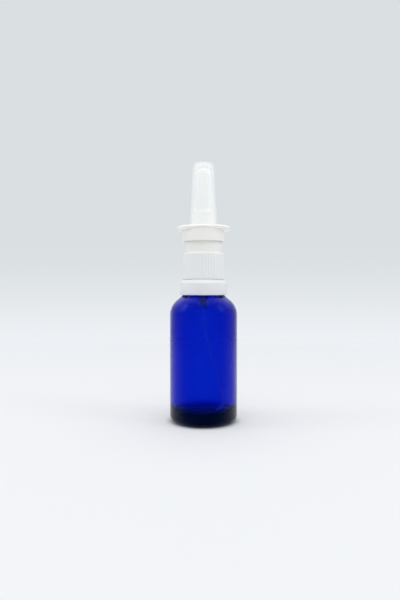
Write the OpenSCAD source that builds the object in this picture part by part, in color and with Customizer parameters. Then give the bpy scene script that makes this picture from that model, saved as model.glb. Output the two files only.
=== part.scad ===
// Nasal spray atomiser: a glass bottle with a screw-on finger pump and a clear overcap.
// The bottle stands on z = 0 with its axis on Z. The wings of the finger flange lie along X.

/* [Bottle] */
// Outside diameter of the glass body
body_d = 33.4; // [31:0.2:36]
// Height of the glass bottle, from its base to its rim
bottle_h = 78.6; // [77:0.2:83]
// Thickness of the glass side wall
glass_wall = 2.1; // [1.6:0.1:2.4]
// Thickness of the glass floor
glass_floor = 5; // [4:0.1:6]
// Radius of the rounded shoulder
shoulder_r = 9.5; // [9:0.25:10]
// Diameter of the hole through the neck
neck_bore_d = 11.8; // [11.2:0.1:12]
// Rise of the neck thread in one turn
thread_pitch = 3; // [2.8:0.1:3.2]

/* [Closure] */
// Outside diameter of the ribbed screw closure, over its ribs
closure_d = 20.8; // [20.6:0.1:22]
// Number of grip ribs on the closure
rib_count = 48; // [36:2:60]
// Outside diameter of the tamper ring
ring_d = 23.5; // [22.8:0.1:24]

/* [Pump] */
// How far the nozzle presses down
stroke = 4.5; // [3.5:0.1:4.6]
// Diameter of the pump's chamber
chamber_d = 6; // [5.8:0.1:6.2]
// Outside diameter of the dip tube
tube_d = 2; // [1.8:0.1:2]
// Direction in which the dip tube leans, measured from +X
tube_lean = -45; // [-180:1:180]

/* [Nozzle] */
// Length of the finger flange, over both wings
flange_l = 26.6; // [25:0.2:29]
// Outside diameter of the nozzle's skirt
skirt_d = 20.6; // [20.4:0.1:21.4]
// Height of the nozzle above its finger flange
nozzle_h = 28.8; // [27:0.1:30]

/* [Overcap] */
// Height of the overcap
cap_h = 31.2; // [30.2:0.1:33]
// Thickness of the overcap's wall
cap_wall = 0.85; // [0.8:0.05:0.9]

/* [Hidden] */
$fn = 96;

// Glass body
body_r = body_d / 2;
heel_r = 3.2;
foot_r = 12.6;          // inner edge of the ring that the bottle stands on
push_up = 1;            // height of the dome under the base
shoulder_sweep = 50;    // the shoulder's arc, before it runs on as a cone
shoulder_z = bottle_h - 26;
floor_fillet = 4;

// Glass neck
neck_r = 8.05;
neck_foot_r = 8.7;
bore_r = neck_bore_d / 2;
bead_r = 9.9;
bead_z = bottle_h - 12.6;
thread_r = 8.95;
thread_turns = 1.5;
thread_z = bottle_h - 6.4;

// Tamper ring and closure
ring_z = bottle_h - 16.1;
ring_top = bottle_h - 8.5;
ring_chamfer = 1.7;
ring_gap = 0.15;
ring_bore_r = 10.35;
skirt_bore_r = 9.3;
female_thread_r = 8.35;
thread_play = 0.3;
closure_r = closure_d / 2;
closure_foot = ring_top + ring_gap;
closure_top = bottle_h + 4.65;
chimney_r = 8.9;
chimney_top = bottle_h + 11.5;
rib_depth = 0.25;
flute_depth = 0.1;

// Pump
gasket_t = 1;
flange_z = bottle_h + gasket_t;     // underside of the housing's flange
ledge_z = flange_z + 1.4;           // underside of the closure's ledge
chamber_r = chamber_d / 2;
chamber_floor = bottle_h - 13.4;
ball_r = 1;
ball_seat_z = chamber_floor - 3.6;
ball_z = ball_seat_z + 0.83;
socket_r = 2;
socket_z = bottle_h - 22;
tube_top = bottle_h - 18.3;
stem_r = 1.9;
stem_bore_r = 1.05;
core_head_z = bottle_h - 5;         // underside of the valve core's head, where the spring pushes
piston_z = core_head_z + 0.87;
piston_h = 4.63;
stem_shoulder_z = bottle_h + 4.6;
seal_z = bottle_h + 5.95;
turret_z = bottle_h + 4.2;
turret_top = bottle_h + 9.8;

// Dip tube
tube_r = tube_d / 2;
tube_bore_r = 0.65;
tube_bend_r = 35;
tube_bend = 22;     // slant of the straight stretch between the two bends
tube_curl_r = 9;
tube_curl = 54;
tube_reach = body_r - glass_wall - tube_r - 0.9;
tube_slant = (tube_reach - (tube_bend_r + tube_curl_r) * (1 - cos(tube_bend))) / sin(tube_bend);
tube_end_rise = 1.4; // from the glass floor up to the middle of the tube's end
tube_curl_z = glass_floor + tube_end_rise + tube_curl_r * sin(tube_curl);
tube_bend_z = tube_curl_z + (tube_bend_r + tube_curl_r) * sin(tube_bend)
    + tube_slant * cos(tube_bend);

// Nozzle
skirt_r = skirt_d / 2;
skirt_z = closure_top + stroke + 1.1;
roof_z = chimney_top + stroke + 0.3;  // ceiling inside the skirt
inner_tube_z = roof_z - 1.4;        // foot of the tube that holds the stem
stem_top = roof_z + 4.2;
flange_top = skirt_z + 7.65;
flange_low = flange_top - 2.3;      // underside of the wings' rounded ends
flange_mid = flange_top - 1.3;      // underside of the flange at its middle
flange_mid_r = skirt_r + 0.3;       // the flange's half-width across its middle
wing_r = 9.5;
rim_top_r = 1.2;
rim_low_w = 2.9;    // the lower rounding is elliptical
rim_low_h = 1.1;
arch_r = 50;
nozzle_base_r = 5.75;
nozzle_step_z = flange_top + 6.5;
tip_r = 3.75;
tip_z = flange_top + nozzle_h;
channel_r = 1.75;
insert_z = tip_z - 4.1;
outlet_z = tip_z - 0.95;            // ceiling of the flow channel

// Overcap
cap_z = flange_top + 0.05;
cap_foot_r = 6.73;
cap_step_z = flange_top + 5.4;      // small step around the outside
cap_snap_z = nozzle_step_z + 0.3;   // inside, where the cap grips the nozzle's foot
cap_taper = 0.0495;
cap_corner_r = 2.1;

// Points along an arc about the point c
function arc(c, r, a0, a1, n = 8) =
    [for (i = [0:n]) c + r * [cos(a0 + (a1 - a0) * i / n), sin(a0 + (a1 - a0) * i / n)]];

// The shoulder's arc ends here, for an arc of radius r about the shoulder's centre
shoulder_c = [body_r - shoulder_r, shoulder_z];
function shoulder_end(r) = shoulder_c + r * [cos(shoulder_sweep), sin(shoulder_sweep)];

// Height of the cone that runs on from there, at radius r
function cone_z(end, r) = end.y + (end.x - r) / tan(shoulder_sweep);

// Centre of a fillet of radius f that joins the cone to a vertical wall at radius r
function fillet_c(end, r, f) = [r + f, cone_z(end, r + f) + f / sin(shoulder_sweep)];

module lathe(outline) {
    rotate_extrude() polygon(outline);
}

module tube(r, bore, z0, z1) {
    lathe([[bore, z0], [r, z0], [r, z1], [bore, z1]]);
}

// A swept solid: rings of points, each ring with the same number of points
module sweep(rings) {
    n = len(rings);
    k = len(rings[0]);
    sides = [
        for (i = [0:n - 2], j = [0:k - 1], half = [0, 1])
            let (a = i * k + j, b = i * k + (j + 1) % k)
                half == 0 ? [a, b, a + k] : [b, b + k, a + k]
    ];
    first_end = [for (j = [k - 1:-1:0]) j];
    last_end = [for (j = [0:k - 1]) (n - 1) * k + j];
    polyhedron([for (ring = rings) each ring], concat([first_end], sides, [last_end]));
}

// A screw thread's ridge from a wall at wall_r to a crest at crest_r, running out at both ends
module thread_ridge(wall_r, crest_r, z, start, turns) {
    base_w = 1.5;
    crest_w = 0.8;
    run_out = 30;
    step = 10;
    side = sign(crest_r - wall_r);
    root_r = wall_r - side * 0.35;
    rings = [
        for (a = [0:step:360 * turns])
            let (
                fade = max(0.1, min(1, a / run_out, (360 * turns - a) / run_out)),
                r = wall_r + (crest_r - wall_r) * fade,
                h = z + thread_pitch * (a + start) / 360,
                low = [[root_r, -base_w / 2], [r, -crest_w / 2]],
                high = [[r, crest_w / 2], [root_r, base_w / 2]],
                section = side > 0 ? concat(low, high) : concat([high.y, high.x], [low.y, low.x])
            )
            [for (p = section) [p.x * cos(a + start), p.x * sin(a + start), h + p.y]]
    ];
    sweep(rings);
}

// A compression spring with closed ends, between two flat seats
module spring(coil_r, wire_r, z0, z1, turns) {
    sides = 8;
    step = 20;
    closed = 2.1 * wire_r;
    open = (z1 - z0 - 2 * wire_r - 2 * closed) / (turns - 2);
    function rise(t) = closed * min(t, 1) + open * max(0, min(t, turns - 1) - 1)
        + closed * max(0, t - turns + 1);
    rings = [
        for (a = [0:step:360 * turns])
            [for (j = [0:sides - 1])
                let (
                    b = 360 * j / sides,
                    r = coil_r + wire_r * cos(b)
                )
                [r * cos(a), r * sin(a), z0 + wire_r + rise(a / 360) + wire_r * sin(b)]
            ]
    ];
    sweep(rings);
}

// A band of vertical ribs around a cylinder of radius r
module ribbed_band(r, depth, bore, z0, z1) {
    slot = 360 / rib_count;
    outline = [
        for (i = [0:rib_count - 1], p = [[0, 0], [0.2, 1], [0.5, 1], [0.7, 0]])
            let (a = slot * (i + p.x))
                (r - depth * (1 - p.y)) * [cos(a), sin(a)]
    ];
    translate([0, 0, z0]) linear_extrude(z1 - z0)
        difference() {
            polygon(outline);
            circle(bore);
        }
}

module bottle() {
    outer_end = shoulder_end(shoulder_r);
    inner_end = shoulder_end(shoulder_r - glass_wall);
    inner_r = body_r - glass_wall;
    dome_r = (foot_r * foot_r + push_up * push_up) / (2 * push_up);
    outer = concat(
        arc([0, push_up - dome_r], dome_r, 90, 90 - asin(foot_r / dome_r)),
        arc([body_r - heel_r, heel_r], heel_r, -90, 0),
        arc(shoulder_c, shoulder_r, 0, shoulder_sweep, 12),
        arc(fillet_c(outer_end, neck_foot_r, 1), 1, 180 + shoulder_sweep, 180, 4),
        [
            [neck_foot_r, bead_z], [bead_r, bead_z + 0.5], [bead_r, bead_z + 1.4],
            [neck_r, bead_z + 2.2]
        ],
        arc([neck_r - 0.6, bottle_h - 0.6], 0.6, 0, 90, 4),
        arc([bore_r + 0.4, bottle_h - 0.4], 0.4, 90, 180, 4)
    );
    inner = concat(
        arc(fillet_c(inner_end, bore_r, 2), 2, 180, 180 + shoulder_sweep, 4),
        arc(shoulder_c, shoulder_r - glass_wall, shoulder_sweep, 0, 12),
        arc([inner_r - floor_fillet, glass_floor + floor_fillet], floor_fillet, 0, -90),
        [[0, glass_floor]]
    );
    color([0.02, 0.08, 0.72, 0.6]) union() {
        lathe(concat(outer, inner));
        thread_ridge(neck_r, thread_r, thread_z, 0, thread_turns);
    }
}

module tamper_ring() {
    ring_r = ring_d / 2;
    lip_r = 9.3;
    land_r = 9.95;      // the frangible bridges stand on this inner edge
    color("white") lathe([
        [ring_bore_r, ring_z], [ring_r - 0.3, ring_z], [ring_r, ring_z + 0.3],
        [ring_r, ring_top - ring_chamfer], [closure_r + 0.15, ring_top], [land_r, ring_top],
        [land_r, ring_top - 0.6], [ring_bore_r, ring_top - 0.9],
        [ring_bore_r, bead_z - ring_gap * 2], [lip_r, bead_z - ring_gap * 2],
        [lip_r, bead_z - 1.2], [ring_bore_r, bead_z - 1.8]
    ]);
}

module screw_closure() {
    core_r = closure_r - rib_depth - 0.05;
    chimney_core_r = chimney_r - flute_depth - 0.05;
    band_r = closure_r - 0.05;
    bridges = 8;
    female_z = thread_z - thread_pitch / 2 + thread_play;
    color("white") union() {
        lathe(concat(
            [[skirt_bore_r, closure_foot], [core_r, closure_foot], [core_r, closure_top - 1.8],
                [band_r, closure_top - 1.5]],
            arc([band_r - 0.5, closure_top - 0.5], 0.5, 0, 90, 4),
            [[chimney_core_r, closure_top], [chimney_core_r, chimney_top - 0.4],
                [chimney_core_r - 0.4, chimney_top], [7.9, chimney_top], [7.9, closure_top],
                [7.2, closure_top], [7.2, ledge_z], [skirt_bore_r, ledge_z]]
        ));
        ribbed_band(closure_r, rib_depth, 9.7, closure_foot + 0.1, closure_top - 1.7);
        ribbed_band(chimney_r, flute_depth, 8.3, closure_top - 0.3, chimney_top - 0.8);
        thread_ridge(skirt_bore_r, female_thread_r, female_z, 90, thread_turns);
        for (i = [0:bridges - 1]) rotate([0, 0, 360 * i / bridges])
            translate([10, -0.5, ring_top]) cube([0.4, 1, 0.4]);
    }
}

module neck_gasket() {
    color("gainsboro") tube(8.8, 4.4, bottle_h, bottle_h + gasket_t);
}

module pump_housing() {
    wall_r = 4.2;
    cup_r = 6.9;
    vent_z = bottle_h - 2;
    color("ivory") difference() {
        lathe([
            [tube_r + 0.02, socket_z], [socket_r, socket_z], [socket_r, ball_seat_z - 1.7],
            [3.1, ball_seat_z - 1], [3.1, chamber_floor + 0.4], [wall_r, chamber_floor + 1.4],
            [wall_r, flange_z], [8.95, flange_z], [8.95, ledge_z], [cup_r, ledge_z],
            [cup_r, turret_z + 3], [5.9, turret_z + 3], [5.9, turret_z - 0.1],
            [chamber_r, turret_z - 0.2], [chamber_r, chamber_floor], [1.5, chamber_floor],
            [0.8, chamber_floor - 0.8], [0.8, chamber_floor - 1.2], [1.5, chamber_floor - 1.4],
            [1.5, ball_seat_z + 0.9], [0.6, ball_seat_z], [0.6, tube_top], [tube_r + 0.02, tube_top]
        ]);
        translate([0, 0, vent_z]) rotate([0, 90, 0]) cylinder(r = 0.35, h = 6);
    }
}

module turret() {
    color("white") lathe([
        [stem_r + 0.1, seal_z + 1.05], [3.6, seal_z + 1.05], [3.6, turret_z], [5.85, turret_z],
        [5.85, turret_z + 3.05], [7.5, turret_z + 3.05], [7.5, turret_z + 4.1],
        [4.8, turret_z + 4.4], [4.2, turret_top], [stem_r + 0.1, turret_top]
    ]);
}

module stem_seal() {
    color("dimgray") tube(3.5, stem_r + 0.05, seal_z, seal_z + 1);
}

// A solid rod of radius r along the dip tube's centre line, longer by extra at both ends.
// Each stop on the line is its x, its z and the angle of the line's normal.
module tube_rod(r, extra) {
    sides = 12;
    bend_c = [tube_bend_r, tube_bend_z];
    curl_c = [tube_reach - tube_curl_r, tube_curl_z];
    end_n = [cos(tube_curl), -sin(tube_curl)];
    end_p = curl_c + tube_curl_r * end_n + extra * [end_n.y, -end_n.x];
    stops = concat(
        [[0, tube_top + extra, 0], [0, tube_bend_z, 0]],
        [for (a = [2:2:tube_bend]) concat(bend_c - tube_bend_r * [cos(a), sin(a)], a)],
        [for (a = [tube_bend:-6:-tube_curl]) concat(curl_c + tube_curl_r * [cos(a), sin(a)], a)],
        [concat(end_p, -tube_curl)]
    );
    sweep([
        for (s = stops)
            [for (j = [0:sides - 1])
                let (b = 360 * j / sides, out = r * cos(b))
                    [s.x + out * cos(s.z), r * sin(b), s.y + out * sin(s.z)]
            ]
    ]);
}

module dip_tube() {
    color([0.9, 0.92, 0.95, 0.6]) rotate([0, 0, tube_lean]) difference() {
        tube_rod(tube_r, 0.3);
        tube_rod(tube_bore_r, 1.3);
    }
}

module inlet_ball() {
    color("silver") translate([0, 0, ball_z]) sphere(ball_r);
}

module return_spring() {
    color("silver") spring(2.2, 0.25, chamber_floor, core_head_z, 7);
}

module valve_core() {
    rib_r = stem_bore_r - 0.02;
    rib_z = bottle_h - 1;
    rib_h = 8;
    color("ivory") union() {
        lathe([
            [0, core_head_z - 2.5], [1.1, core_head_z - 2.5], [1.4, core_head_z - 2.2],
            [1.4, core_head_z], [2.55, core_head_z], [2.55, core_head_z + 0.5],
            [1.9, core_head_z + 0.85], [0.7, core_head_z + 0.85], [0.7, rib_z + rib_h],
            [0, rib_z + rib_h]
        ]);
        translate([0, 0, rib_z]) intersection() {
            cylinder(r = rib_r, h = rib_h);
            union() for (a = [0, 90]) rotate([0, 0, a])
                translate([-2, -0.175, 0]) cube([4, 0.35, rib_h]);
        }
    }
}

module piston() {
    lip_r = chamber_r - 0.03;
    top = piston_z + piston_h;
    color("white") lathe([
        [1.2, piston_z], [2.5, piston_z], [lip_r, piston_z + 0.2], [lip_r, piston_z + 0.9],
        [2.4, piston_z + 1.5], [2.4, top - 1.5], [lip_r, top - 0.9], [lip_r, top - 0.2],
        [2.5, top], [1.5, top], [1.5, piston_z + 1.33], [1.2, piston_z + 1.33]
    ]);
}

module precompression_spring() {
    color("silver") spring(2, 0.18, piston_z + piston_h, stem_shoulder_z, 5);
}

module stem() {
    color("white") lathe([
        [stem_bore_r, bottle_h - 2], [1.45, bottle_h - 2], [1.45, stem_shoulder_z],
        [2.8, stem_shoulder_z], [2.8, seal_z - 0.1], [stem_r, seal_z - 0.1],
        [stem_r, stem_top], [stem_bore_r, stem_top]
    ]);
}

// A disc of radius r with the finger flange's rounded rim
module flange_disc(r) {
    low_c = [r - rim_low_w, flange_low + rim_low_h];
    rotate_extrude($fn = 32) polygon(concat(
        [[0, flange_low]],
        [for (p = arc([0, 0], 1, -90, 0, 5)) low_c + [p.x * rim_low_w, p.y * rim_low_h]],
        arc([r - rim_top_r, flange_top - rim_top_r], rim_top_r, 0, 90, 4),
        [[0, flange_top]]
    ));
}

// The oval finger flange, arched underneath between its wings
module finger_flange() {
    difference() {
        hull() {
            flange_disc(flange_mid_r);
            for (side = [-1, 1]) translate([side * (flange_l / 2 - wing_r), 0, 0])
                flange_disc(wing_r);
        }
        translate([0, 0, flange_mid - arch_r]) rotate([90, 0, 0])
            cylinder(r = arch_r, h = 60, center = true);
    }
}

module nozzle() {
    shell = 1.1;
    inner_tube_r = 3;
    cone_top = tip_z - tip_r;
    cone_foot_r = nozzle_base_r - 0.4;
    cavity_top = tip_z - 9.9;
    cavity_top_r = tip_r - shell + (cone_foot_r - tip_r) * (cone_top - cavity_top)
        / (cone_top - nozzle_step_z);
    color("white") difference() {
        union() {
            finger_flange();
            lathe([[0, skirt_z + 1], [skirt_r, skirt_z + 1], [skirt_r, flange_mid + 0.8],
                [0, flange_mid + 0.8]]);
            lathe([[skirt_r - 0.8, skirt_z], [skirt_r - 0.2, skirt_z], [skirt_r, skirt_z + 0.2],
                [skirt_r, skirt_z + 2], [skirt_r - 0.8, skirt_z + 2]]);
            lathe(concat(
                [[0, flange_mid], [nozzle_base_r, flange_mid], [nozzle_base_r, nozzle_step_z],
                    [cone_foot_r, nozzle_step_z + 0.4]],
                arc([0, cone_top], tip_r, 4, 90, 12)
            ));
        }
        // skirt's bore, with the cavity around the inner tube
        lathe([
            [inner_tube_r, skirt_z - 1], [skirt_r - 1.2, skirt_z - 1], [skirt_r - 1.2, roof_z],
            [nozzle_base_r - shell, roof_z], [nozzle_base_r - shell, nozzle_step_z - 0.4],
            [cone_foot_r - shell, nozzle_step_z + 0.4], [cavity_top_r, cavity_top],
            [inner_tube_r, cavity_top]
        ]);
        translate([0, 0, skirt_z - 1])
            cylinder(r = inner_tube_r + 0.5, h = inner_tube_z - skirt_z + 1);
        // stem socket, flow channel and spray outlet
        translate([0, 0, skirt_z]) cylinder(r = stem_r + 0.02, h = stem_top + 0.1 - skirt_z);
        translate([0, 0, stem_top - 0.2]) cylinder(r = channel_r, h = outlet_z - stem_top + 0.2);
        translate([0, 0, tip_z - 1.2]) cylinder(r1 = 0.5, r2 = 1.05, h = 1.3);
    }
}

module nozzle_core() {
    z0 = stem_top + 1;
    h = insert_z - z0 - 0.1;
    color("ivory") translate([0, 0, z0]) union() {
        cylinder(r = 1.3, h = h);
        intersection() {
            cylinder(r = channel_r - 0.02, h = h);
            union() for (a = [45, 135]) rotate([0, 0, a])
                translate([-2, -0.3, 0]) cube([4, 0.6, h]);
        }
    }
}

module swirl_insert() {
    top = outlet_z - 0.05;
    color("ivory") lathe([
        [0.2, top - 0.6], [0.9, top - 0.6], [0.9, insert_z], [channel_r - 0.02, insert_z],
        [channel_r - 0.02, top], [0.2, top]
    ]);
}

module overcap() {
    top = cap_z + cap_h;
    cone_r = cap_foot_r - 0.2;
    top_r = cone_r - cap_taper * (top - cap_step_z);
    inner_top_r = top_r - cap_wall;
    inner_top = top - cap_wall - 0.05;
    color([0.94, 0.97, 1, 0.35]) lathe(concat(
        [[0, inner_top]],
        arc([inner_top_r - 1.3, inner_top - 1.3], 1.3, 90, 0, 5),
        [[cone_r - cap_wall - 0.08, cap_snap_z + 0.5], [cap_foot_r - cap_wall, cap_snap_z],
            [cap_foot_r - cap_wall, cap_z], [cap_foot_r, cap_z], [cap_foot_r, cap_step_z - 0.1],
            [cone_r, cap_step_z + 0.1]],
        arc([top_r - cap_corner_r, top - cap_corner_r], cap_corner_r, 0, 90, 6),
        [[0, top]]
    ));
}

bottle();
tamper_ring();
screw_closure();
neck_gasket();
pump_housing();
turret();
stem_seal();
dip_tube();
inlet_ball();
return_spring();
valve_core();
piston();
precompression_spring();
stem();
nozzle();
nozzle_core();
swirl_insert();
overcap();
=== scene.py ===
"""Looks of the nasal spray bottle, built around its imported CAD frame.

Shapes are worked out in millimetres in the part's own frame, and become metres when their mesh is
made. Z points up the bottle's axis and X along the wings of the finger flange. The sizes repeat the
CAD part's, or are read from its nodes. Lamps, floor and camera are placed in metres.
"""

import math

import bmesh
import bpy
import numpy as np
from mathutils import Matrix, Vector


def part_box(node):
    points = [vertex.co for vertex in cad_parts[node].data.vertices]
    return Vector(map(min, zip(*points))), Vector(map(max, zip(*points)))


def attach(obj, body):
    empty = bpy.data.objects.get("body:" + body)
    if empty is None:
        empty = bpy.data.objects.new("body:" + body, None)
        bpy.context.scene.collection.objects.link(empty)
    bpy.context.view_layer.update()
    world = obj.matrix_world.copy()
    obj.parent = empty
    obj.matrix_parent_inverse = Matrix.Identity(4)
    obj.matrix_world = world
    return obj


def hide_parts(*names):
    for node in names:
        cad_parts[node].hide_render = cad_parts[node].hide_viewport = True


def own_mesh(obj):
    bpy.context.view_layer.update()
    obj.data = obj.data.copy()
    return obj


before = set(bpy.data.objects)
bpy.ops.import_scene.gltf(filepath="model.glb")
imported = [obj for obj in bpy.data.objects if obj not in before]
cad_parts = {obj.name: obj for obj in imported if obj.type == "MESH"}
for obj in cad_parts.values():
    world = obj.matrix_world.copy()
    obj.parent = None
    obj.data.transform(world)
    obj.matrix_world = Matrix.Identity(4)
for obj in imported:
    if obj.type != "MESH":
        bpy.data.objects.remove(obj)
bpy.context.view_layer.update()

MM = 0.001
FULL_TURN = 2 * math.pi


def span(node):
    """Lowest level, highest level and largest radius of a CAD node, in millimetres."""
    low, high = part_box(node)
    return low.z / MM, high.z / MM, high.x / MM


# ---------------------------------------------------------------- sizes, in millimetres
_, BOTTLE_H, BODY_R = span("bottle")
RING_FOOT, RING_TOP, RING_R = span("tamper_ring")
_, CHIMNEY_TOP, CLOSURE_R = span("screw_closure")
SKIRT_FOOT, TIP_Z, WING_TIP = span("nozzle")
CAP_FOOT, CAP_TOP, CAP_FOOT_R = span("overcap")
_, TUBE_TOP, _ = span("dip_tube")

GLASS_WALL = 2.1
GLASS_FLOOR = 5
FLOOR_FILLET = 4                    # rounds the inside's lower corner
HEEL_R = 3.2                        # rounds the outside's lower corner
FOOT_R = 12.6                       # the glass stands on a ring that starts at this radius
PUSH_UP = 1                         # how far the base domes up inside that ring
SHOULDER_R = 9.5
SHOULDER_SWEEP = math.radians(50)   # the shoulder's arc runs this far, then goes on as a cone
SHOULDER_Z = BOTTLE_H - 26
NECK_FOOT_R = 8.7                   # the neck below its bead
NECK_R = 8.05                       # the neck above its bead, without the thread
BORE_R = 5.9
BEAD_R = 9.9
BEAD_Z = BOTTLE_H - 12.6
THREAD_DEPTH = 0.9
THREAD_PITCH = 3
THREAD_TURNS = 1.5
THREAD_Z = BOTTLE_H - 6.4

RING_CHAMFER = 1.7
CLOSURE_FOOT = RING_TOP + 0.15
CLOSURE_TOP = BOTTLE_H + 4.65       # top of the wide part, where the chimney starts
LEDGE_Z = BOTTLE_H + 2.4            # underside of the ledge that holds the pump down
CHIMNEY_R = 8.9
RIBS = 48
RIB_DEPTH = 0.11
FLUTE_DEPTH = 0.05

SKIRT_R = 10.3
ROOF_Z = SKIRT_FOOT + 6.05          # the skirt is hollow up to here
INNER_TUBE_Z = ROOF_Z - 1.4         # lower end of the tube that takes the stem
FLANGE_TOP = SKIRT_FOOT + 7.65
FLANGE_LOW = FLANGE_TOP - 2.3       # underside at the wing tips
FLANGE_MID = FLANGE_TOP - 1.3       # underside at the middle, the arch's highest level
FLANGE_MID_R = SKIRT_R + 0.3
WING_R = 9.5
RIM_TOP_R = 1.2                     # rounds the rim above its widest level
RIM_LOW_W, RIM_LOW_H = 2.9, 1.1     # the rim's rounding below that, across and up
ARCH_R = 50
NOZZLE_BASE_R = 5.75
NOZZLE_STEP_Z = FLANGE_TOP + 6.5    # the overcap fits over the wider foot below this step
CONE_FOOT_R = 5.35
TIP_R = 3.75
TIP_DOME_Z = FLANGE_TOP + 28.8 - TIP_R

CAP_WALL = 0.85
CAP_STEP_Z = FLANGE_TOP + 5.4
CAP_SNAP_Z = NOZZLE_STEP_Z + 0.3
CAP_TAPER = 0.0495                  # radius lost for each unit of height

TUBE_R = 1.0
TUBE_BORE_R = 0.65
TUBE_LEAN = math.radians(-45)       # the way the tube heads off, seen from above
TUBE_BEND_R = 35
TUBE_BEND = math.radians(22)        # tilt of the slanting stretch below the bend
TUBE_CURL_R = 9
TUBE_CURL = math.radians(54)        # how far past upright the lower end curls back in
TUBE_END_RISE = 1.4                 # from the glass floor to the middle of the tube's end

MAIN_WIRE_R, MAIN_TURNS = 0.25, 7
SMALL_WIRE_R, SMALL_TURNS = 0.18, 5

# ---------------------------------------------------------------- outlines


def arc(centre, radius, start, end, steps):
    """Points (r, z) along an arc; the angles are in degrees."""
    angles = np.radians(np.linspace(start, end, steps + 1))
    return [(centre[0] + radius * math.cos(a), centre[1] + radius * math.sin(a)) for a in angles]


def soften(corners, steps=4):
    """A closed outline through corners (r, z, rounding), with every corner rounded."""
    most = 0.48                     # of a side, so that two roundings never meet
    count = len(corners)
    outline = []
    for i, (r, z, rounding) in enumerate(corners):
        corner = np.array([r, z], float)
        if rounding <= 0:
            outline.append((r, z))
            continue
        back = np.array(corners[i - 1][:2]) - corner
        ahead = np.array(corners[(i + 1) % count][:2]) - corner
        back_length, ahead_length = np.linalg.norm(back), np.linalg.norm(ahead)
        back, ahead = back / back_length, ahead / ahead_length
        half_angle = math.acos(np.clip(back @ ahead, -1, 1)) / 2
        cut = min(rounding / math.tan(half_angle), most * back_length, most * ahead_length)
        for t in np.linspace(0, 1, steps + 1):
            near, far = corner + back * cut, corner + ahead * cut
            point = (1 - t) ** 2 * near + 2 * t * (1 - t) * corner + t * t * far
            outline.append((point[0], point[1]))
    return outline


def refine(outline, longest, closed=True):
    """The same outline with no stretch longer than longest."""
    fine = []
    ends = outline[1:] + outline[:1] if closed else outline[1:]
    for (r0, z0), (r1, z1) in zip(outline, ends):
        parts = max(1, math.ceil(math.hypot(r1 - r0, z1 - z0) / longest))
        fine += [(r0 + (r1 - r0) * i / parts, z0 + (z1 - z0) * i / parts) for i in range(parts)]
    return fine if closed else fine + [outline[-1]]


def smooth(low, high, value):
    """0 below low, 1 above high, and a smooth ramp between them."""
    t = np.clip((value - low) / (high - low), 0, 1)
    return t * t * (3 - 2 * t)


def thread_height(angle, z, start_z, start_angle=0.0):
    """Height of a screw thread's ridge, from 0 to 1, at an angle and a level."""
    crest_half, foot_half = 0.35, 0.8       # half widths of the ridge
    run_out = 0.08                          # of a turn, at each end
    height = np.zeros(np.broadcast(angle, z).shape)
    for turn in range(math.ceil(THREAD_TURNS) + 1):
        turns = (angle - start_angle) / FULL_TURN + turn
        off_centre = np.abs(z - start_z - THREAD_PITCH * turns)
        ridge = 1 - smooth(crest_half, foot_half, off_centre)
        fade = smooth(0, run_out, turns) * smooth(0, run_out, THREAD_TURNS - turns)
        height = np.maximum(height, ridge * fade)
    return height


# ---------------------------------------------------------------- meshes


def add_object(name, mesh, material, sharp=32):
    """A smooth-shaded object of the mesh, with hard edges where faces meet at over sharp degrees."""
    mesh.materials.append(material)
    mesh.shade_smooth()
    mesh.set_sharp_from_angle(angle=math.radians(sharp))
    made = bpy.data.objects.new(name, mesh)
    bpy.context.scene.collection.objects.link(made)
    return made


def skin(name, rows, material, closed, sharp=32):
    """A closed mesh over rows of points, each row a ring around the axis; poles are merged."""
    same_place, no_length = 1e-6, 1e-7      # in metres
    points = np.asarray(rows, float) * MM
    count, sides = points.shape[:2]
    last = count if closed else count - 1
    faces = [
        (i * sides + j, i * sides + (j + 1) % sides,
         (i + 1) % count * sides + (j + 1) % sides, (i + 1) % count * sides + j)
        for i in range(last) for j in range(sides)
    ]
    mesh = bpy.data.meshes.new(name)
    mesh.from_pydata(points.reshape(-1, 3).tolist(), [], faces)
    work = bmesh.new()
    work.from_mesh(mesh)
    bmesh.ops.remove_doubles(work, verts=work.verts, dist=same_place)
    bmesh.ops.dissolve_degenerate(work, edges=work.edges, dist=no_length)
    bmesh.ops.recalc_face_normals(work, faces=work.faces)
    work.to_mesh(mesh)
    work.free()
    return add_object(name, mesh, material, sharp)


def ring_angles(sides):
    """Evenly spaced angles, all the way around the axis."""
    return np.linspace(0, FULL_TURN, sides, endpoint=False)


def level_ring(angles, radii, levels):
    """A ring of points around the axis; radii and levels are numbers, or one for each angle."""
    radii, levels = np.broadcast_to(radii, len(angles)), np.broadcast_to(levels, len(angles))
    return np.stack([radii * np.cos(angles), radii * np.sin(angles), levels], 1)


def turned(outline, sides=160, shape=None):
    """Rings around the axis, one per point of the outline.

    shape(angles, r, z) may give each ring other radii, and another level at each angle.
    """
    angles = ring_angles(sides)
    return [level_ring(angles, *(shape(angles, r, z) if shape else (r, z))) for r, z in outline]


# ---------------------------------------------------------------- materials


def new_material(name):
    """A material with an empty node tree."""
    material = bpy.data.materials.new(name)
    material.use_nodes = True
    tree = material.node_tree
    tree.nodes.clear()
    return material, tree


def put(tree, kind, settings=None, **sockets):
    """A node with its settings and its sockets filled in; a socket takes a number, colour or output."""
    made = tree.nodes.new(kind)
    for key, value in (settings or {}).items():
        setattr(made, key, value)
    for key, value in sockets.items():
        socket = made.inputs[key.replace("_", " ")]
        if isinstance(value, bpy.types.NodeSocket):
            tree.links.new(value, socket)
        else:
            socket.default_value = value
    return made


def noise(tree, place, size, detail=3.0, roughness=0.5):
    """Noise whose features are about size millimetres across."""
    return put(tree, "ShaderNodeTexNoise", Vector=place, Scale=1 / (size * MM),
               Detail=detail, Roughness=roughness).outputs["Fac"]


def spread(tree, factor, low, high):
    """Maps a factor that stays around the middle of 0 to 1 onto low to high."""
    return put(tree, "ShaderNodeMapRange", Value=factor, From_Min=0.3, From_Max=0.7,
               To_Min=low, To_Max=high).outputs["Result"]


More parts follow.
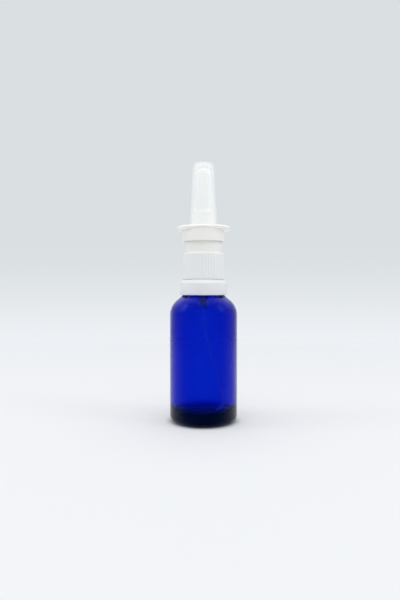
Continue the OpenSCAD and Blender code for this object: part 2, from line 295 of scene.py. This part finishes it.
def smooth_ramp(tree, value, low, high):
    """Runs smoothly from 0 where the value is at low to 1 where it is at high.

    If low is the larger of the two, the ramp runs downwards.
    """
    return put(tree, "ShaderNodeMapRange", {"interpolation_type": "SMOOTHSTEP"}, Value=value,
               From_Min=low, From_Max=high).outputs["Result"]


def mix_colour(tree, factor, first, second):
    """A mix of two colours, either of which may come from a node."""
    made = put(tree, "ShaderNodeMix", {"data_type": "RGBA"})
    tree.links.new(factor, made.inputs["Factor"])
    # the node has an A, a B and a Result for each kind of data; these are the colours'
    first_socket, second_socket, result = made.inputs[6], made.inputs[7], made.outputs[2]
    for socket, colour in ((first_socket, first), (second_socket, second)):
        if isinstance(colour, bpy.types.NodeSocket):
            tree.links.new(colour, socket)
        else:
            socket.default_value = (*colour, 1)
    return result


def bump(tree, height, distance, strength=1.0, normal=None):
    """A bump whose full height is distance millimetres, on top of another normal if one is given."""
    made = put(tree, "ShaderNodeBump", Height=height, Distance=distance * MM, Strength=strength)
    if normal:
        tree.links.new(normal, made.inputs["Normal"])
    return made.outputs["Normal"]


def finish_surface(tree, shader, volume=None):
    """Joins a shader, and a volume if there is one, to the material's output."""
    output = put(tree, "ShaderNodeOutputMaterial", Surface=shader)
    if volume:
        tree.links.new(volume, output.inputs["Volume"])


def moulded_plastic(name, light, dark, rough=(0.3, 0.42), translucence=0.2, foot=None):
    """Moulded plastic: faint flow clouds, a fine tool grain and slight sink waves.

    foot gives another tint (light, dark) below the top of the closure, darker and cooler: painted shade
    on the closure's lower band.
    """
    material, tree = new_material(name)
    place = put(tree, "ShaderNodeTexCoord").outputs["Object"]
    clouds = noise(tree, place, 7, 4)
    grain = noise(tree, place, 0.12, 2)
    waves = noise(tree, place, 4, 1)
    scuffs = noise(tree, place, 1.3, 5, 0.65)
    mottle = spread(tree, clouds, 0, 1)
    colour = mix_colour(tree, mottle, dark, light)
    # painted shade: below the top of the closure the darker, cooler foot tint takes over
    if foot:
        level = put(tree, "ShaderNodeSeparateXYZ", Vector=place).outputs["Z"]
        rise = smooth_ramp(tree, level, (CLOSURE_TOP - 0.8) * MM, (CLOSURE_TOP + 0.2) * MM)
        colour = mix_colour(tree, rise, mix_colour(tree, mottle, *foot[::-1]), colour)
    fine = bump(tree, grain, 0.004, 0.35)
    shader = put(
        tree, "ShaderNodeBsdfPrincipled", Base_Color=colour,
        Roughness=spread(tree, scuffs, *rough),
        Normal=bump(tree, waves, 0.05, 0.25, fine),
        Subsurface_Weight=translucence, Subsurface_Scale=1.6 * MM,
        Subsurface_Radius=(1.0, 0.9, 0.75), IOR=1.49,
    )
    finish_surface(tree, shader.outputs["BSDF"])
    return material


def cobalt_glass():
    """Clear glass whose volume soaks up all but blue light, with faint waves and smears."""
    material, tree = new_material("cobalt_glass")
    place = put(tree, "ShaderNodeTexCoord").outputs["Object"]
    waves = noise(tree, place, 9, 1)
    smears = noise(tree, place, 3, 4)
    shader = put(
        tree, "ShaderNodeBsdfPrincipled", Base_Color=(1, 1, 1, 1),
        Roughness=spread(tree, smears, 0.0, 0.035),
        Normal=bump(tree, waves, 0.12, 0.2), IOR=1.51, Transmission_Weight=1.0,
        Specular_Tint=(0.0, 0.08, 0.45, 1),
    )
    tint = put(tree, "ShaderNodeVolumeAbsorption", Color=(0.0, 0.31, 0.9, 1), Density=1500.0)
    finish_surface(tree, shader.outputs["BSDF"], tint.outputs["Volume"])
    return material


def clear_plastic(name, dark, light, **looks):
    """Translucent plastic: cloudy, scuffed and faintly wavy; looks are further shader sockets.

    A weak emission that is passed in is a painted glow, standing for light that scatters many times
    inside the wall.
    """
    material, tree = new_material(name)
    place = put(tree, "ShaderNodeTexCoord").outputs["Object"]
    clouds = noise(tree, place, 5, 3)
    scuffs = noise(tree, place, 1.5, 5, 0.6)
    shader = put(
        tree, "ShaderNodeBsdfPrincipled",
        Base_Color=mix_colour(tree, clouds, dark, light),
        Roughness=spread(tree, scuffs, 0.2, 0.28),
        Normal=bump(tree, noise(tree, place, 3, 1), 0.005, 0.2), **looks,
    )
    finish_surface(tree, shader.outputs["BSDF"])
    return material


def steel(name, rough):
    """Drawn or polished steel with a fine grain."""
    material, tree = new_material(name)
    place = put(tree, "ShaderNodeTexCoord").outputs["Object"]
    drawn = noise(tree, place, 0.4, 3)
    shader = put(
        tree, "ShaderNodeBsdfPrincipled",
        Base_Color=mix_colour(tree, drawn, (0.52, 0.53, 0.55), (0.68, 0.69, 0.70)),
        Roughness=spread(tree, drawn, *rough),
        Normal=bump(tree, noise(tree, place, 0.08, 2), 0.003, 0.3), Metallic=1.0,
    )
    finish_surface(tree, shader.outputs["BSDF"])
    return material


def rubber():
    """Matt grey rubber with a mottled, grainy skin."""
    material, tree = new_material("seal_rubber")
    place = put(tree, "ShaderNodeTexCoord").outputs["Object"]
    mottle = noise(tree, place, 0.8, 4)
    shader = put(
        tree, "ShaderNodeBsdfPrincipled",
        Base_Color=mix_colour(tree, mottle, (0.07, 0.07, 0.075), (0.12, 0.12, 0.125)),
        Roughness=spread(tree, mottle, 0.6, 0.8),
        Normal=bump(tree, noise(tree, place, 0.15, 2), 0.008, 0.5),
    )
    finish_surface(tree, shader.outputs["BSDF"])
    return material


GLASS = cobalt_glass()
# painted glow: the cap is given a weak bluish emission, so it glows though it is no lamp
CLEAR = clear_plastic("clear_plastic", (0.985, 0.99, 1.0), (0.995, 0.998, 1.0), IOR=1.45, Alpha=0.22,
                      Emission_Color=(0.62, 0.84, 1.0, 1), Emission_Strength=0.115)
# painted shade: the foot tint makes the closure's ribbed band darker and cooler than the chimney above
WHITE = moulded_plastic("white_plastic", (0.935, 0.94, 0.90), (0.91, 0.915, 0.875),
                        foot=((0.865, 0.89, 0.905), (0.845, 0.87, 0.88)))
# painted shade: the ring's plastic is a darker, bluer copy of the white, for the dimmer, blue-lit place
# it sits in by the glass
SHADED_RING_PLASTIC = moulded_plastic("ring_plastic_painted_shade", (0.825, 0.855, 0.885), (0.805, 0.835, 0.86))
NATURAL = moulded_plastic("natural_plastic", (0.78, 0.78, 0.74), (0.70, 0.70, 0.66), (0.35, 0.5), 0.4)
SATIN = moulded_plastic("satin_plastic", (0.84, 0.84, 0.83), (0.79, 0.79, 0.78), (0.4, 0.55), 0.3)
# painted glow: the tube is given a blue emission, so its curled end shows bright against the dark base
TUBING = clear_plastic("tubing", (0.6, 0.64, 0.92), (0.68, 0.72, 0.96), IOR=1.45, Alpha=0.2,
                       Emission_Color=(0.36, 0.42, 1.0, 1), Emission_Strength=0.2)
WIRE = steel("spring_wire", (0.22, 0.34))
BALL = steel("polished_ball", (0.08, 0.16))
RUBBER = rubber()

# ---------------------------------------------------------------- glass bottle


def shoulder_end(radius):
    """Where the shoulder's arc of this radius ends and its cone begins."""
    return (BODY_R - SHOULDER_R + radius * math.cos(SHOULDER_SWEEP),
            SHOULDER_Z + radius * math.sin(SHOULDER_SWEEP))


def fillet_centre(end, wall_r, fillet):
    """Centre of the fillet between the shoulder's cone and a vertical wall at wall_r."""
    r = wall_r + fillet
    cone_z = end[1] + (end[0] - r) / math.tan(SHOULDER_SWEEP)
    return r, cone_z + fillet / math.sin(SHOULDER_SWEEP)


def glass_bottle():
    """The glass: domed base, heel, wall, shoulder and threaded neck, then the inside back down."""
    sweep = math.degrees(SHOULDER_SWEEP)
    shoulder = (BODY_R - SHOULDER_R, SHOULDER_Z)
    outer_end, inner_end = shoulder_end(SHOULDER_R), shoulder_end(SHOULDER_R - GLASS_WALL)
    inner_r = BODY_R - GLASS_WALL
    dome_r = (FOOT_R ** 2 + PUSH_UP ** 2) / (2 * PUSH_UP)
    dome_end = 90 - math.degrees(math.asin(FOOT_R / dome_r))
    neck = soften([
        (NECK_FOOT_R, BEAD_Z - 1, 0), (NECK_FOOT_R, BEAD_Z, 0.3), (BEAD_R, BEAD_Z + 0.5, 0.35),
        (BEAD_R, BEAD_Z + 1.4, 0.35), (NECK_R, BEAD_Z + 2.2, 0.3), (NECK_R, BOTTLE_H, 0.6),
        (BORE_R, BOTTLE_H, 0.4), (BORE_R, BOTTLE_H - 2, 0),
    ])
    outline = (
        arc((0, PUSH_UP - dome_r), dome_r, 90, dome_end, 14)
        + arc((BODY_R - HEEL_R, HEEL_R), HEEL_R, -90, 0, 12)
        + arc(shoulder, SHOULDER_R, 0, sweep, 20)
        + arc(fillet_centre(outer_end, NECK_FOOT_R, 1), 1, 180 + sweep, 180, 6)
        + refine(neck, 0.3, closed=False)
        + arc(fillet_centre(inner_end, BORE_R, 2), 2, 180, 180 + sweep, 8)
        + arc(shoulder, SHOULDER_R - GLASS_WALL, sweep, 0, 20)
        + arc((inner_r - FLOOR_FILLET, GLASS_FLOOR + FLOOR_FILLET), FLOOR_FILLET, 0, -90, 14)
        + [(0, GLASS_FLOOR)]
    )

    def shape(angles, r, z):
        """Raises the thread on the outside of the neck."""
        on_neck = BEAD_Z + 2.3 < z < BOTTLE_H - 0.7 and r > BORE_R + 0.5
        ridge = thread_height(angles, z, THREAD_Z) * THREAD_DEPTH if on_neck else 0
        return np.full(len(angles), r) + ridge, z

    rows = turned(refine(outline, 1.6, closed=False), 240, shape)
    glass = skin("glass_bottle", rows, GLASS, closed=False)
    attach(glass, "bottle")
    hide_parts("bottle")


# ---------------------------------------------------------------- tamper ring and closure


def tamper_ring():
    """The loose ring under the closure, with a lip inside that hooks under the neck's bead."""
    bore_r, lip_r, land_r = 10.35, 9.3, 9.95
    outline = soften([
        (bore_r, RING_FOOT, 0.1), (RING_R, RING_FOOT, 0.35), (RING_R, RING_TOP - RING_CHAMFER, 0.2),
        (CLOSURE_R + 0.15, RING_TOP, 0.12), (land_r, RING_TOP, 0.08), (land_r, RING_TOP - 0.6, 0.08),
        (bore_r, RING_TOP - 0.9, 0), (bore_r, BEAD_Z - 0.3, 0.1), (lip_r, BEAD_Z - 0.3, 0.15),
        (lip_r, BEAD_Z - 1.2, 0.15), (bore_r, BEAD_Z - 1.8, 0.1),
    ])
    ring = skin("ring_shell", turned(outline, 200), SHADED_RING_PLASTIC, closed=True)
    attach(ring, "tamper_ring")
    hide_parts("tamper_ring")


def screw_closure():
    """The ribbed closure and its fluted chimney, with a thread inside."""
    skirt_bore_r = 9.3
    chimney_bore_r = 7.9
    housing_bore_r = 7.2
    thread_depth = 0.95
    band_top = CLOSURE_TOP - 1.2
    thread_z = THREAD_Z - THREAD_PITCH / 2 + 0.3
    corners = [
        (skirt_bore_r, CLOSURE_FOOT, 0.1), (CLOSURE_R, CLOSURE_FOOT, 0.15),
        (CLOSURE_R, CLOSURE_TOP, 0.55), (CHIMNEY_R, CLOSURE_TOP, 0.2),
        (CHIMNEY_R, CHIMNEY_TOP, 0.35), (chimney_bore_r, CHIMNEY_TOP, 0.25),
        (chimney_bore_r, CLOSURE_TOP, 0.15), (housing_bore_r, CLOSURE_TOP, 0.1),
        (housing_bore_r, LEDGE_Z, 0.1), (skirt_bore_r, LEDGE_Z, 0.15),
    ]

    def shape(angles, r, z):
        """Cuts the ribs and flutes into the outside, and raises the thread inside."""
        rib = 0.5 + 0.5 * np.cos(RIBS * angles)
        valley = 1 - smooth(0.25, 0.75, rib)
        on_band = (r > CLOSURE_R - 0.3) * (1 - smooth(band_top - 0.8, band_top + 0.3, z))
        on_chimney = (abs(r - CHIMNEY_R) < 0.02) * smooth(CLOSURE_TOP + 0.2, CLOSURE_TOP + 0.5, z)
        flutes = on_chimney * (1 - smooth(CHIMNEY_TOP - 0.9, CHIMNEY_TOP - 0.5, z))
        radii = r - valley * (RIB_DEPTH * on_band + FLUTE_DEPTH * flutes)
        if r == skirt_bore_r and z < LEDGE_Z - 0.3:
            radii = radii - thread_depth * thread_height(angles, z, thread_z, FULL_TURN / 4)
        return radii, z

    outline = refine(soften(corners), 0.45)
    closure = skin("closure_shell", turned(outline, RIBS * 12, shape), WHITE, closed=True)
    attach(closure, "closure")
    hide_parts("screw_closure")


# ---------------------------------------------------------------- nozzle


def flange_reach(angles):
    """The oval flange's radius at each angle: the hull of a middle disc and two wing discs.

    The hull's radius is the least of its support lines' distances along that angle.
    """
    normals = ring_angles(1440)
    wing_x = WING_TIP - WING_R
    support = np.maximum(FLANGE_MID_R, WING_R + wing_x * np.abs(np.cos(normals)))
    facing = np.cos(angles[:, None] - normals[None, :])
    reach = np.where(facing > 0.05, support[None, :] / np.maximum(facing, 0.05), np.inf)
    return reach.min(1)


def nozzle():
    """The actuator: tapered nozzle, oval flange with an arched underside, skirt and inner tube."""
    cavity_r, tube_r = 3.0, 1.92            # inside the nozzle, and its tube that grips the stem
    channel_r, outlet_r = 1.75, 0.6
    cavity_top = TIP_Z - 9.9
    tube_end = ROOF_Z + 4.3
    roof_hole_r, cone_bore_r = 4.9, 4.65    # where the skirt's inside opens into the nozzle's
    angles = ring_angles(240)
    reach = flange_reach(angles)

    def ring(radii, levels):
        """A ring of points that may be oval and wavy."""
        return level_ring(angles, radii, levels)

    def plain(points):
        """Round rings, one per point (r, z)."""
        return [ring(r, z) for r, z in points]

    def underside(radii, inset):
        """Level of the flange's underside: the arch, the flat ends and the rounded rim."""
        arch_x = np.clip(np.abs(radii * np.cos(angles)), 0, ARCH_R)
        arch = FLANGE_MID - ARCH_R + np.sqrt(ARCH_R ** 2 - arch_x ** 2)
        turn_in = np.clip(1 - inset / RIM_LOW_W, 0, 1)
        rim = FLANGE_LOW + RIM_LOW_H * (1 - np.sqrt(1 - turn_in ** 2))
        return np.maximum(arch, rim)

    rows = plain(
        [(channel_r, TIP_DOME_Z - 1.5), (channel_r, TIP_DOME_Z + TIP_R - 1),
         (outlet_r, TIP_DOME_Z + TIP_R - 1)]
        + arc((0, TIP_DOME_Z), TIP_R, 74, 2, 20)
        + refine([(TIP_R, TIP_DOME_Z - 0.1), (CONE_FOOT_R, NOZZLE_STEP_Z + 0.35)], 2, closed=False)
        + [(CONE_FOOT_R + 0.08, NOZZLE_STEP_Z + 0.22), (NOZZLE_BASE_R - 0.1, NOZZLE_STEP_Z + 0.06),
           (NOZZLE_BASE_R, NOZZLE_STEP_Z - 0.1), (NOZZLE_BASE_R, FLANGE_TOP + 0.35),
           (NOZZLE_BASE_R + 0.1, FLANGE_TOP + 0.1), (NOZZLE_BASE_R + 0.35, FLANGE_TOP)]
    )
    # the flange's top, its rounded rim with a parting groove, and its underside
    flat_from = NOZZLE_BASE_R + 0.35
    for t in (0.3, 0.6, 0.9):
        rows.append(ring(flat_from + t * (reach - RIM_TOP_R - flat_from), FLANGE_TOP))
    for a in np.radians(np.linspace(90, 15, 12)):
        rows.append(ring(reach - RIM_TOP_R + RIM_TOP_R * math.cos(a),
                         FLANGE_TOP - RIM_TOP_R + RIM_TOP_R * math.sin(a)))
    widest = FLANGE_TOP - RIM_TOP_R
    for depth, rise in ((0.03, 0.27), (0.2, 0.2), (0.2, 0.04), (0.03, 0)):
        rows.append(ring(reach - depth, widest + rise))
    for inset in RIM_LOW_W * (1 - np.cos(np.radians(np.linspace(12, 90, 14)))):
        radii = reach - inset
        rows.append(ring(np.maximum(radii, SKIRT_R), underside(np.maximum(radii, SKIRT_R), inset)))
    edge = np.maximum(reach - RIM_LOW_W, SKIRT_R)
    for t in (0.25, 0.5, 0.75, 1.0):
        radii = edge + t * (SKIRT_R - edge)
        rows.append(ring(radii, underside(radii, np.maximum(reach - radii, 0))))
    low = underside(SKIRT_R, reach - SKIRT_R)
    for t in (0.04, 0.3, 0.6, 0.9):
        rows.append(ring(SKIRT_R, low + t * (SKIRT_FOOT + 0.25 - low)))
    rows += plain(
        [(SKIRT_R - 0.05, SKIRT_FOOT + 0.1), (SKIRT_R - 0.2, SKIRT_FOOT),
         (SKIRT_R - 0.7, SKIRT_FOOT), (SKIRT_R - 0.8, SKIRT_FOOT + 0.1),
         (SKIRT_R - 0.8, SKIRT_FOOT + 1), (SKIRT_R - 1.2, SKIRT_FOOT + 1.1),
         (SKIRT_R - 1.2, ROOF_Z - 0.3), (SKIRT_R - 1.5, ROOF_Z), (roof_hole_r, ROOF_Z),
         (cone_bore_r, ROOF_Z + 0.2), (cone_bore_r, NOZZLE_STEP_Z - 0.4),
         (CONE_FOOT_R - 1.1, NOZZLE_STEP_Z + 0.4), (cavity_r + 0.15, cavity_top),
         (cavity_r, cavity_top), (cavity_r, INNER_TUBE_Z + 0.2), (cavity_r - 0.2, INNER_TUBE_Z),
         (tube_r + 0.18, INNER_TUBE_Z), (tube_r, INNER_TUBE_Z + 0.2), (tube_r, tube_end),
         (channel_r, tube_end)]
    )
    shell = skin("nozzle_shell", rows, WHITE, closed=True, sharp=28)
    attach(shell, "nozzle")
    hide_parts("nozzle")


# ---------------------------------------------------------------- overcap


def overcap():
    """The hollow tapered cap, with a small step near its foot."""
    corner_r = 2.1
    inner_corner_r = 1.3
    cone_r = CAP_FOOT_R - 0.2
    top_r = cone_r - CAP_TAPER * (CAP_TOP - CAP_STEP_Z)
    inner_top_r, inner_top = top_r - CAP_WALL, CAP_TOP - CAP_WALL - 0.05
    outline = (
        [(0, inner_top), (inner_top_r - 2.4, inner_top - 0.01)]
        + arc((inner_top_r - inner_corner_r, inner_top - inner_corner_r), inner_corner_r, 90, 3, 8)
        + refine([(inner_top_r + 0.06, inner_top - 2.6), (cone_r - CAP_WALL - 0.08, CAP_SNAP_Z + 0.5)],
                 2, closed=False)
        + [(CAP_FOOT_R - CAP_WALL, CAP_SNAP_Z), (CAP_FOOT_R - CAP_WALL, CAP_FOOT + 0.2),
           (CAP_FOOT_R - CAP_WALL + 0.12, CAP_FOOT), (CAP_FOOT_R - 0.15, CAP_FOOT),
           (CAP_FOOT_R, CAP_FOOT + 0.15), (CAP_FOOT_R, CAP_STEP_Z - 0.12),
           (CAP_FOOT_R - 0.05, CAP_STEP_Z), (cone_r, CAP_STEP_Z + 0.1)]
        + refine([(cone_r, CAP_STEP_Z + 0.3), (top_r + 0.1, CAP_TOP - 3)], 2, closed=False)
        + arc((top_r - corner_r, CAP_TOP - corner_r - 0.05), corner_r, 4, 86, 10)
        + [(top_r - 3, CAP_TOP - 0.02), (0, CAP_TOP)]
    )
    cap = skin("cap_shell", turned(outline, 160), CLEAR, closed=False)
    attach(cap, "overcap")
    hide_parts("overcap")


# ---------------------------------------------------------------- dip tube and springs


def tube_stops():
    """Stops along the dip tube's centre line: x, z and the angle of the line's normal."""
    reach = BODY_R - GLASS_WALL - TUBE_R - 0.9
    slant = (reach - (TUBE_BEND_R + TUBE_CURL_R) * (1 - math.cos(TUBE_BEND))) / math.sin(TUBE_BEND)
    curl_x = reach - TUBE_CURL_R
    curl_z = GLASS_FLOOR + TUBE_END_RISE + TUBE_CURL_R * math.sin(TUBE_CURL)
    bend_z = curl_z + (TUBE_BEND_R + TUBE_CURL_R) * math.sin(TUBE_BEND) + slant * math.cos(TUBE_BEND)
    stops = [(0, z, 0) for z in np.linspace(TUBE_TOP, bend_z, 6)]
    for a in np.linspace(0, TUBE_BEND, 14)[1:]:
        stops.append((TUBE_BEND_R * (1 - math.cos(a)), bend_z - TUBE_BEND_R * math.sin(a), a))
    for a in np.linspace(TUBE_BEND, -TUBE_CURL, 24):
        stops.append((curl_x + TUBE_CURL_R * math.cos(a), curl_z + TUBE_CURL_R * math.sin(a), a))
    return stops


def dip_tube():
    """A hollow tube along the stops, turned towards its corner of the bottle."""
    stops = tube_stops()
    around = ring_angles(32)
    x_way = (math.cos(TUBE_LEAN), math.sin(TUBE_LEAN))

    def ring(stop, radius):
        """A ring of points across the centre line."""
        x, z, a = stop
        out = radius * np.cos(around)
        in_plane = x + out * math.cos(a)
        side = radius * np.sin(around)
        return np.stack([in_plane * x_way[0] - side * x_way[1],
                         in_plane * x_way[1] + side * x_way[0], z + out * math.sin(a)], 1)

    outer = [ring(stop, TUBE_R) for stop in stops]
    inner = [ring(stop, TUBE_BORE_R) for stop in stops]
    tube = skin("suction_tube", outer + inner[::-1], TUBING, closed=True, sharp=50)
    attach(tube, "pump")
    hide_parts("dip_tube")


def coil_spring(name, node, body, wire_r, turns):
    """A compression spring with closed ends that fills its CAD solid's height."""
    sides, steps_per_turn = 16, 40
    foot, top, outer_r = span(node)
    coil_r = outer_r - wire_r
    closed_rise = 2.1 * wire_r      # the end coils lie almost on each other
    open_rise = (top - foot - 2 * wire_r - 2 * closed_rise) / (turns - 2)
    round_off = 0.5 * wire_r        # the wire's ends are rounded over this length
    around = ring_angles(sides)
    rows = []
    for turn in np.linspace(0, turns, turns * steps_per_turn + 1):
        rise = (closed_rise * min(turn, 1) + open_rise * max(0, min(turn, turns - 1) - 1)
                + closed_rise * max(0, turn - turns + 1))
        a = turn * FULL_TURN
        from_end = min(turn, turns - turn) * coil_r * FULL_TURN
        radius = wire_r * math.sqrt(max(0.02, 1 - max(0, 1 - from_end / round_off) ** 2))
        r = coil_r + radius * np.cos(around)
        z = foot + wire_r + rise + radius * np.sin(around)
        rows.append(np.stack([r * math.cos(a), r * math.sin(a), z], 1))
    first, last = rows[0].mean(0), rows[-1].mean(0)
    rows = [np.tile(first, (sides, 1))] + rows + [np.tile(last, (sides, 1))]
    spring = skin(name, rows, WIRE, closed=False, sharp=60)
    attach(spring, body)
    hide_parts(node)
    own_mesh(spring)


# ---------------------------------------------------------------- the object

glass_bottle()
tamper_ring()
screw_closure()
nozzle()
overcap()
dip_tube()
coil_spring("main_spring", "return_spring", "pump",
            MAIN_WIRE_R, MAIN_TURNS)
coil_spring("small_spring", "precompression_spring", "stem",
            SMALL_WIRE_R, SMALL_TURNS)

for node_name, material in {
    "neck_gasket": RUBBER, "stem_seal": RUBBER, "pump_housing": NATURAL, "turret": NATURAL,
    "valve_core": NATURAL, "nozzle_core": NATURAL, "swirl_insert": NATURAL, "stem": SATIN,
    "piston": SATIN, "inlet_ball": BALL,
}.items():
    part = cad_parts[node_name]
    part.data.materials.clear()
    part.data.materials.append(material)

# ---------------------------------------------------------------- studio, in metres

FLOOR_R = 0.9
FLOOR_DROP = 0.00002                # keeps the floor clear of the glass that stands on it
FLOOR_FADE = (0.16, 0.55)           # the floor fades out between these distances
PAINTED_SHADOW_SPAN = (0.012, 0.02)       # painted shadow: between these distances from the axis the floor turns dark and loses its emission
EYE_HEIGHT = 0.06485
EYE_DISTANCE = 0.25
EYE_SIDE = -0.00175
EYE_TILT = math.radians(1.1)        # downwards
SENSOR, LENS = 24, 20.1             # in millimetres; the sensor is as high as the picture
MIDDLE = (0, 0, 0.07)               # the softboxes' usual aim


def floor():
    """A pale floor that fades into the surround, with a painted shadow where the bottle covers it.

    A weak emission lifts the open floor to the paleness of a brightly lit studio, but not inside the
    painted shadow.
    """
    material, tree = new_material("studio_floor")
    place = put(tree, "ShaderNodeTexCoord").outputs["Object"]
    distance = put(tree, "ShaderNodeVectorMath", {"operation": "LENGTH"})
    tree.links.new(place, distance.inputs[0])
    seen = put(tree, "ShaderNodeMapRange", {"interpolation_type": "SMOOTHSTEP"},
               Value=distance.outputs["Value"], From_Min=FLOOR_FADE[0], From_Max=FLOOR_FADE[1],
               To_Min=1.0, To_Max=0.0)
    outside_painted_shadow = smooth_ramp(tree, distance.outputs["Value"], *PAINTED_SHADOW_SPAN)
    # painted shadow: under the bottle the floor's colour is dark and its emission is off
    shader = put(tree, "ShaderNodeBsdfPrincipled", Roughness=0.8,
                 Base_Color=mix_colour(tree, outside_painted_shadow, (0.2, 0.2, 0.21), (0.62, 0.635, 0.665)),
                 Specular_IOR_Level=0.2, Alpha=seen.outputs["Result"],
                 Emission_Color=mix_colour(tree, outside_painted_shadow, (0, 0, 0), (0.95, 0.98, 1.0)),
                 Emission_Strength=0.2)
    finish_surface(tree, shader.outputs["BSDF"])
    mesh = bpy.data.meshes.new("studio_floor")
    work = bmesh.new()
    bmesh.ops.create_circle(work, cap_ends=True, radius=FLOOR_R, segments=96)
    work.to_mesh(mesh)
    work.free()
    made = add_object("studio_floor", mesh, material)
    made.location.z = -FLOOR_DROP


def studio_world():
    """A seamless pale surround; as light it is brighter overhead and dimmer behind the camera."""
    backdrop_low, backdrop_high = (0.89, 0.92, 0.955), (0.70, 0.735, 0.755)
    side_light, top_light, front_light = (0.6, 0.6, 0.62), (1.0, 0.99, 0.975), (0.57, 0.565, 0.55)
    world = bpy.data.worlds.new("studio")
    bpy.context.scene.world = world
    world.use_nodes = True
    tree = world.node_tree
    tree.nodes.clear()
    way = put(tree, "ShaderNodeTexCoord").outputs["Generated"]
    parts = put(tree, "ShaderNodeSeparateXYZ", Vector=way).outputs
    shown = mix_colour(tree, smooth_ramp(tree, parts["Z"], -0.17, 0.1), backdrop_low, backdrop_high)
    sideways = put(tree, "ShaderNodeMath", {"operation": "ABSOLUTE"}, Value=parts["X"]).outputs[0]
    lit = mix_colour(tree, smooth_ramp(tree, sideways, 0.45, 0.75), shown, side_light)
    lit = mix_colour(tree, smooth_ramp(tree, parts["Z"], 0.25, 0.6), lit, top_light)
    lit = mix_colour(tree, smooth_ramp(tree, parts["Y"], -0.55, -0.95), lit, front_light)
    camera_ray = put(tree, "ShaderNodeLightPath").outputs["Is Camera Ray"]
    lighting = put(tree, "ShaderNodeBackground", Color=lit, Strength=1.0)
    backdrop = put(tree, "ShaderNodeBackground", Color=shown, Strength=1.0)
    both = put(tree, "ShaderNodeMixShader")
    tree.links.new(camera_ray, both.inputs[0])
    tree.links.new(lighting.outputs[0], both.inputs[1])
    tree.links.new(backdrop.outputs[0], both.inputs[2])
    tree.links.new(both.outputs[0], put(tree, "ShaderNodeOutputWorld").inputs["Surface"])


def softbox(name, place, aim, size, power):
    """A rectangular area lamp that faces its aim; sizes in metres, power in watts."""
    data = bpy.data.lights.new(name, "AREA")
    data.shape = "RECTANGLE"
    data.size, data.size_y = size
    data.energy = power
    lamp = bpy.data.objects.new(name, data)
    bpy.context.scene.collection.objects.link(lamp)
    lamp.location = place
    lamp.rotation_mode = "QUATERNION"
    lamp.rotation_quaternion = (Vector(aim) - Vector(place)).to_track_quat("-Z", "Y")


def camera():
    """The camera at the object's front, just above the middle of the bottle."""
    data = bpy.data.cameras.new("camera")
    data.sensor_width = SENSOR
    data.lens = LENS
    made = bpy.data.objects.new("camera", data)
    bpy.context.scene.collection.objects.link(made)
    made.location = (EYE_SIDE, -EYE_DISTANCE, EYE_HEIGHT)
    made.rotation_euler = (math.pi / 2 - EYE_TILT, 0, 0)
    bpy.context.scene.camera = made


floor()
studio_world()
softbox("top_box", (0, -0.16, 0.6), MIDDLE, (0.3, 0.3), 0.35)
softbox("left_box", (-0.54, -0.07, 0.44), MIDDLE, (0.22, 0.36), 0.5)
softbox("right_box", (0.52, -0.2, 0.41), MIDDLE, (0.22, 0.36), 0.5)
softbox("near_box", (0.01, -0.1, 0.215), (0, 0, 0.12), (0.1, 0.06), 0.015)
camera()
bpy.context.scene.view_settings.view_transform = "Standard"
